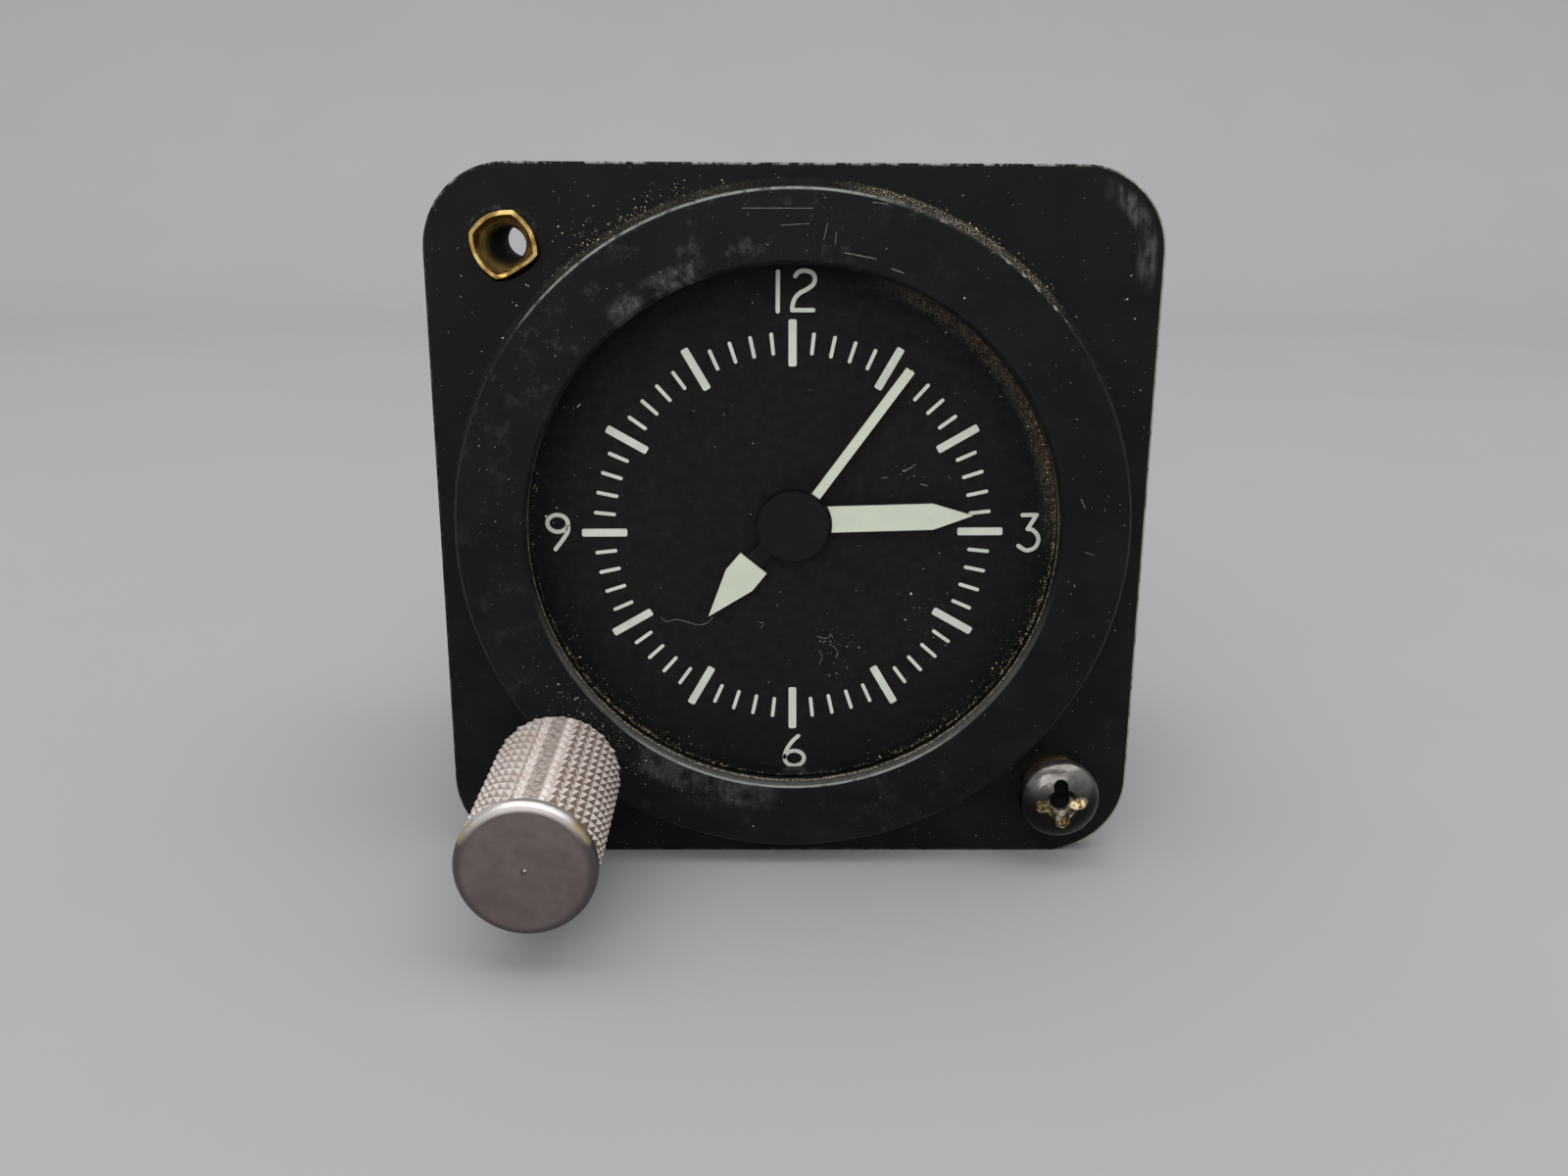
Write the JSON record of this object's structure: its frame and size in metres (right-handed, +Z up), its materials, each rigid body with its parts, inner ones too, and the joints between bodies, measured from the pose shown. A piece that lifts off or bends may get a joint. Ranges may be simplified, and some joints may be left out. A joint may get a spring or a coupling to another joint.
{
  "type": "aircraft clock",
  "caption": "Panel-mounted aircraft clock with a square flange, round window, three pale hands on a black dial and a knurled pull-out winding knob",
  "frame": {"origin": "middle of the bounding box's underside, on the lower edge of the flange", "axes": "+Z up along the dial's 6 to 12 line, +X to the right as the dial is read, +Y from the dial towards the rear cover; the dial faces -Y"},
  "size_m": [0.0604, 0.0628, 0.0603],
  "materials": {
    "black_paint": "worn semi-matt black paint",
    "dial_paint": "flat black dial paint",
    "hand_paint": "pale luminous paint on flat hands",
    "glass": "clear flat glass with a little dust",
    "nickel": "worn nickel plating",
    "brass": "turned brass",
    "steel": "plain steel",
    "black_steel": "black oxide, worn at the recess",
    "rubber": "thin black gasket"
  },
  "bodies": {
    "case": {"bezel": "black_paint", "case_can": "black_paint", "glass_gasket": "rubber", "glass": "glass", "glass_spacer": "black_paint", "dial": "dial_paint", "movement_ring": "brass", "retaining_ring": "brass", "cover_gasket": "rubber", "rear_cover": "black_paint", "cover_screws": "steel", "insert_nuts": "brass", "mounting_screw": "black_steel", "stem_bush": "brass", "front_plate": "brass", "back_plate": "brass", "pillars": "brass", "plate_screws": "steel", "escape_cock": "brass", "balance_cock": "brass", "cock_screws": "steel", "click_spring": "steel"},
    "winding_pinion": {"winding_pinion": "steel"},
    "knob": {"knob": "nickel", "stem": "steel", "setting_pinion": "steel"},
    "winding_wheel": {"winding_wheel": "steel"},
    "ratchet": {"ratchet_wheel": "steel", "barrel_arbor": "steel"},
    "click": {"click": "steel"},
    "barrel": {"barrel": "brass", "barrel_cap": "brass", "mainspring": "steel"},
    "minutes": {"centre_wheel": "brass", "cannon_pinion": "steel", "minute_hand": "hand_paint"},
    "third": {"third_wheel": "brass"},
    "seconds": {"fourth_wheel": "brass", "second_hand": "hand_paint"},
    "escape": {"escape_wheel": "brass"},
    "lever": {"pallet_lever": "steel"},
    "balance": {"balance": "brass", "hairspring": "steel"},
    "minute_wheel": {"minute_wheel": "brass"},
    "hours": {"hour_wheel": "brass", "hour_hand": "hand_paint"},
    "setting_wheel": {"setting_wheel": "brass"}
  },
  "joints": [
    {"name": "knob_turn", "type": "hinge", "parent": "case", "child": "winding_pinion", "pos_m": [-0.02044, -0.00143, 0.00899], "axis": [0, 1, 0], "continuous": true},
    {"name": "knob_pull", "type": "slide", "parent": "winding_pinion", "child": "knob", "axis": [0, -1, 0], "range_m": [0, 0.002]},
    {"name": "winding_wheel_turn", "type": "hinge", "parent": "case", "child": "winding_wheel", "pos_m": [-0.01608, -0.00143, 0.01663], "axis": [0, 1, 0], "continuous": true},
    {"name": "ratchet_turn", "type": "hinge", "parent": "case", "child": "ratchet", "pos_m": [-0.00318, -0.00143, 0.01828], "axis": [0, 1, 0], "continuous": true},
    {"name": "click_rock", "type": "hinge", "parent": "case", "child": "click", "pos_m": [0.00773, -0.00143, 0.01469], "axis": [0, 1, 0], "range_deg": [-6, 2]},
    {"name": "seconds_turn", "type": "hinge", "parent": "case", "child": "seconds", "pos_m": [0, 0.01337, 0.03016], "axis": [0, 1, 0], "continuous": true},
    {"name": "minutes_turn", "type": "hinge", "parent": "case", "child": "minutes", "pos_m": [0, 0.01038, 0.03016], "axis": [0, 1, 0], "continuous": true},
    {"name": "hours_turn", "type": "hinge", "parent": "case", "child": "hours", "pos_m": [0, -0.00602, 0.03016], "axis": [0, 1, 0], "continuous": true},
    {"name": "minute_wheel_turn", "type": "hinge", "parent": "case", "child": "minute_wheel", "pos_m": [-0.00788, -0.00492, 0.02877], "axis": [0, 1, 0], "continuous": true},
    {"name": "setting_wheel_turn", "type": "hinge", "parent": "case", "child": "setting_wheel", "pos_m": [-0.0106, -0.00492, 0.01586], "axis": [0, 1, 0], "continuous": true},
    {"name": "third_turn", "type": "hinge", "parent": "case", "child": "third", "pos_m": [0.00563, 0.01218, 0.03991], "axis": [0, 1, 0], "continuous": true},
    {"name": "barrel_turn", "type": "hinge", "parent": "case", "child": "barrel", "pos_m": [-0.00318, 0.00438, 0.01828], "axis": [0, 1, 0], "continuous": true},
    {"name": "escape_turn", "type": "hinge", "parent": "case", "child": "escape", "pos_m": [0.00779, 0.01638, 0.02566], "axis": [0, 1, 0], "continuous": true},
    {"name": "lever_rock", "type": "hinge", "parent": "case", "child": "lever", "pos_m": [0.00697, 0.01868, 0.03034], "axis": [0, 1, 0], "range_deg": [-4, 4]},
    {"name": "balance_swing", "type": "hinge", "parent": "case", "child": "balance", "pos_m": [0.00567, 0.02138, 0.03773], "axis": [0, 1, 0], "range_deg": [-135, 135]}
  ],
  "couplings": [
    {"joint": "winding_wheel_turn", "follows": "knob_turn", "ratio": -1.2},
    {"joint": "ratchet_turn", "follows": "knob_turn", "ratio": 0.53333},
    {"joint": "minutes_turn", "follows": "seconds_turn", "ratio": 0.016667},
    {"joint": "hours_turn", "follows": "seconds_turn", "ratio": 0.0013889},
    {"joint": "minute_wheel_turn", "follows": "seconds_turn", "ratio": -0.0055556},
    {"joint": "setting_wheel_turn", "follows": "seconds_turn", "ratio": 0.0046296},
    {"joint": "third_turn", "follows": "seconds_turn", "ratio": -0.13333},
    {"joint": "barrel_turn", "follows": "seconds_turn", "ratio": -0.0028571},
    {"joint": "escape_turn", "follows": "seconds_turn", "ratio": -8}
  ]
}
